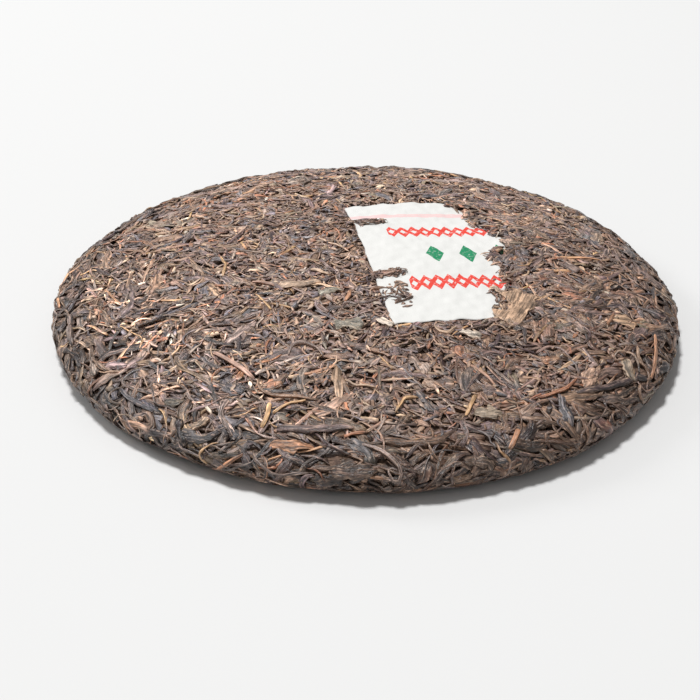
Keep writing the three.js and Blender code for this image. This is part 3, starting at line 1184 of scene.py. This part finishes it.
UNDER_PLAN = (
    ("rolled_leaves", 1000, 110, 0.3),
    ("strands", 1700, 140, 0.3),
    ("flat_leaves", 900, 80, 0.3),
    ("stems", 600, 40, 0.4),
    ("twists", 1500, 90, 0.4),
    ("leaf_bits", 5000, 600, 0.3),
)

# Patches of crumbled leaf on the ticket, by their middles and half sizes across and along it
DEBRIS = ((5.0, 17.0, 5.5, 8.0), (4.0, 29.5, 7.0, 2.2), (4.5, 66.5, 7.0, 1.7))
DEBRIS_PLAN = (
    ("flat_leaves", 300, 2, 0.3),
    ("strands", 900, 4, 0.9),
    ("twists", 900, 3, 0.9),
    ("leaf_bits", 1200, 20, 1.0),
)

# Single leaves that stand out in the photo: kind, tone, width, thickness and the photo's pixels that each
# runs through
PLACED = {
    "loop": (
        "strands", TAUPE, 1.2, 1.1, (356, 443), (378, 448), (400, 467), (402, 482), (390, 482), (388, 465),
    ),
    "rim_hook": ("strands", TAUPE, 1.2, 1.0, (252, 449), (256, 462), (275, 475), (312, 472)),
    "orange_block": ("flat_leaves", ORANGE, 3.2, 0.9, (269, 445), (290, 447), (315, 446)),
    "golden_hook": ("strands", GOLD, 1.2, 1.0, (420, 397), (405, 398), (395, 413)),
    "bent_taupe": ("rolled_leaves", TAUPE * 1.25, 2.4, 1.2, (227, 397), (220, 415), (234, 437)),
    "pale_left": ("rolled_leaves", TAN, 2.2, 1.2, (209, 417), (200, 425), (191, 428)),
    "pink_stem": ("stems", PINK, 1.9, 1.0, (212, 351), (234, 363), (255, 379)),
    "long_hook": ("strands", BROWN, 1.1, 1.0, (258, 374), (258, 389), (270, 396), (322, 399)),
    "gold_upright": ("stems", GOLD, 1.7, 1.0, (261, 428), (267, 416), (270, 402)),
    "gold_thin": ("stems", GOLD, 1.0, 0.9, (272, 413), (287, 405), (307, 400)),
    "tan_upright": ("flat_leaves", DUN, 3.2, 0.8, (336, 366), (338, 382), (340, 400)),
    "pale_thread": ("stems", TAN, 0.8, 0.7, (344, 379), (356, 384), (377, 387)),
    "arch": ("strands", TAUPE, 1.2, 1.0, (288, 355), (292, 345), (303, 341), (317, 347), (324, 357)),
    "big_plum": ("rolled_leaves", PLUM, 3.6, 1.5, (275, 429), (310, 430), (356, 428)),
    "low_umber": ("rolled_leaves", UMBER, 4.0, 1.6, (328, 472), (350, 474), (379, 470)),
    "slate_left": ("strands", SLATE, 1.8, 1.2, (119, 387), (128, 398), (154, 412)),
    "bent_left": ("rolled_leaves", BROWN, 2.1, 1.4, (91, 345), (94, 362), (109, 371)),
    "black_left": ("rolled_leaves", BLACK, 2.6, 1.3, (137, 327), (152, 322), (167, 317)),
    "rim_taupe": ("rolled_leaves", TAUPE, 2.2, 1.4, (71, 314), (70, 332), (72, 347)),
    "rim_black": ("rolled_leaves", BLACK, 2.8, 1.6, (180, 419), (179, 432), (185, 446)),
    "big_tan": ("flat_leaves", DUN, 8.8, 0.9, (505, 324), (516, 309), (524, 292)),
    "small_tan": ("flat_leaves", TAN, 3.0, 0.7, (489, 285), (497, 289), (506, 293)),
    "cream_near": ("flat_leaves", CREAM, 3.2, 0.7, (376, 318), (384, 322), (394, 325)),
    "grey_near": ("flat_leaves", STONE, 6.0, 0.9, (334, 325), (348, 323), (363, 326)),
    "hook_near": ("strands", TAN, 1.0, 0.8, (434, 324), (438, 332), (449, 333), (458, 326)),
    "cream_crumpled": ("flat_leaves", CREAM, 3.0, 0.8, (459, 331), (470, 334), (482, 336)),
    "cream_folded": ("flat_leaves", TAN * 1.1, 3.8, 0.8, (277, 286), (298, 284), (321, 281)),
    "pink_back": ("stems", PINK, 1.4, 0.9, (251, 281), (262, 283), (275, 286)),
    "beige_back": ("flat_leaves", STONE * 1.4, 3.4, 0.8, (319, 294), (330, 291), (342, 288)),
    "pale_back": ("stems", TAN, 1.5, 0.8, (310, 269), (320, 271), (330, 275)),
    "gold_back": ("strands", GOLD, 1.3, 0.9, (220, 256), (226, 264), (222, 277)),
    "orange_curl": ("stems", ORANGE, 1.3, 0.9, (350, 290), (349, 296), (345, 301)),
    "orange_right": ("stems", ORANGE, 1.4, 1.1, (655, 334), (655, 356), (652, 379)),
    "long_right": ("rolled_leaves", BLACK, 2.8, 1.5, (575, 392), (608, 387), (640, 377)),
    "olive_right": ("flat_leaves", OLIVE, 4.0, 0.8, (625, 358), (628, 370), (632, 382)),
    "slate_right": ("rolled_leaves", SLATE, 3.6, 1.2, (560, 392), (562, 408), (572, 428)),
    "olive_leaf": ("flat_leaves", OLIVE, 5.5, 0.9, (473, 412), (487, 414), (502, 412)),
    "gold_left_of_it": ("stems", GOLD, 1.3, 0.9, (476, 394), (471, 404), (466, 416)),
    "orange_front": ("stems", ORANGE, 1.7, 1.0, (519, 428), (515, 439), (509, 450)),
    "pink_strand": ("strands", RUST, 1.2, 1.0, (532, 399), (550, 396), (568, 388), (577, 377)),
}

# First seeds of each layer, and how far the lower layers go under the ticket
TOP_SEED = 100
CRUMB_SEED = 150
COVER_SEED = 200
UNDER_SEED = 300
BED_SEED = 500
UNDER_BED_SEED = 600
DEBRIS_SEED = 700
DEBRIS_SEEDS = 10  # for each patch
PLACED_SEED = 800
BED_OVERLAP = 7
LEAF_OVERLAP = 4

lay_face(top_chart, BED_SEED, ring(*TOP_RANGE), BED_PLAN, bed_level, clear_of_ticket(BED_OVERLAP))
lay_face(under_chart, UNDER_BED_SEED, ring(*UNDER_RANGE), UNDER_BED_PLAN, bed_level)
clear = clear_of_ticket(LEAF_OVERLAP)
lay_face(top_chart, TOP_SEED, ring(*TOP_RANGE), TOP_PLAN, press_level, clear)
lay_face(top_chart, CRUMB_SEED, ring(*CRUMB_RANGE), CRUMB_PLAN, press_level, clear)
grid = np.meshgrid(*[np.arange(top_chart.count) * CELL - top_chart.reach] * 2, indexing="ij")
paper = np.where(ticket_distance(*grid) < 0, paper_level(*ticket_place(*grid)), -CORE_DEPTH).ravel()
top_chart.height = np.maximum(top_chart.height, paper)
lay_face(top_chart, COVER_SEED, ring(*COVER_RANGE), COVER_PLAN, proud_level, over_hidden_part)
for number, patch in enumerate(DEBRIS):
    seed = DEBRIS_SEED + DEBRIS_SEEDS * number
    lay_face(top_chart, seed, oval(patch), DEBRIS_PLAN, proud_level, within(patch), DEBRIS_COLOURS)
lay_face(under_chart, UNDER_SEED, ring(*UNDER_RANGE), UNDER_PLAN, press_level)
for number, leaf in enumerate(PLACED.values()):
    place(top_chart, PLACED_SEED + number, *leaf)

tea_pieces = [(build_core(), core_material())]
for name in KINDS:
    tea_pieces.append((build_leaves(name), leaf_material(name, *KINDS[name]["finish"])))
for piece, material in tea_pieces:
    piece.data.materials.append(material)
    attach(piece, "root")
    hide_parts("tea_cake")

ticket = build_ticket()
ticket.data.materials.append(ticket_material())
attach(ticket, "root")
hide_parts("ticket")

# Camera
SENSOR = 36.0
NEAREST = 0.01  # metres from the camera that it still shows
FLOOR_REACH = 4.0  # metres
FLOOR_COLOUR = (0.77, 0.77, 0.766, 1)


def make_camera():
    data = bpy.data.cameras.new("camera")
    data.sensor_width = SENSOR
    data.lens = FOCAL_PIXELS / IMAGE_PIXELS * SENSOR
    data.clip_start = NEAREST
    camera = add_object("camera", data)
    turn = Matrix(VIEW_AXES.tolist()).transposed().to_4x4()
    camera.matrix_world = Matrix.Translation(EYE * MM) @ turn
    bpy.context.scene.camera = camera


def make_floor():
    mesh = bpy.data.meshes.new("floor")
    far = FLOOR_REACH
    mesh.from_pydata([(-far, -far, 0), (far, -far, 0), (far, far, 0), (-far, far, 0)], [], [(0, 1, 2, 3)])
    look = {"Base Color": FLOOR_COLOUR, "Roughness": 0.95, "Specular IOR Level": 0.1}
    mesh.materials.append(Nodes("floor").look(look))
    add_object("floor", mesh)


def area_light(name, place, size, power):
    """A round lamp that points at the cake."""
    data = bpy.data.lights.new(name, "AREA")
    data.shape = "DISK"
    data.size = size
    data.energy = power
    light = add_object(name, data)
    light.location = place
    light.rotation_mode = "QUATERNION"
    light.rotation_quaternion = (-Vector(place)).to_track_quat("-Z", "Y")


# Light from all round, and the lamps: place and size in metres, and power in watts
WORLD_STRENGTH = 0.27
WINDOWS = {
    "window": ((-0.6, 0.5, 3.4), 0.7, 102.0),
    "low_window": ((-2.75, 1.3, 1.7), 1.2, 25.0),
}


def make_light():
    world = bpy.data.worlds.new("world")
    world.use_nodes = True
    background = world.node_tree.nodes["Background"]
    background.inputs["Color"].default_value = (1, 1, 1, 1)
    background.inputs["Strength"].default_value = WORLD_STRENGTH
    bpy.context.scene.world = world
    for name, window in WINDOWS.items():
        area_light(name, *window)


make_camera()
make_floor()
make_light()
bpy.context.scene.view_settings.view_transform = "Standard"
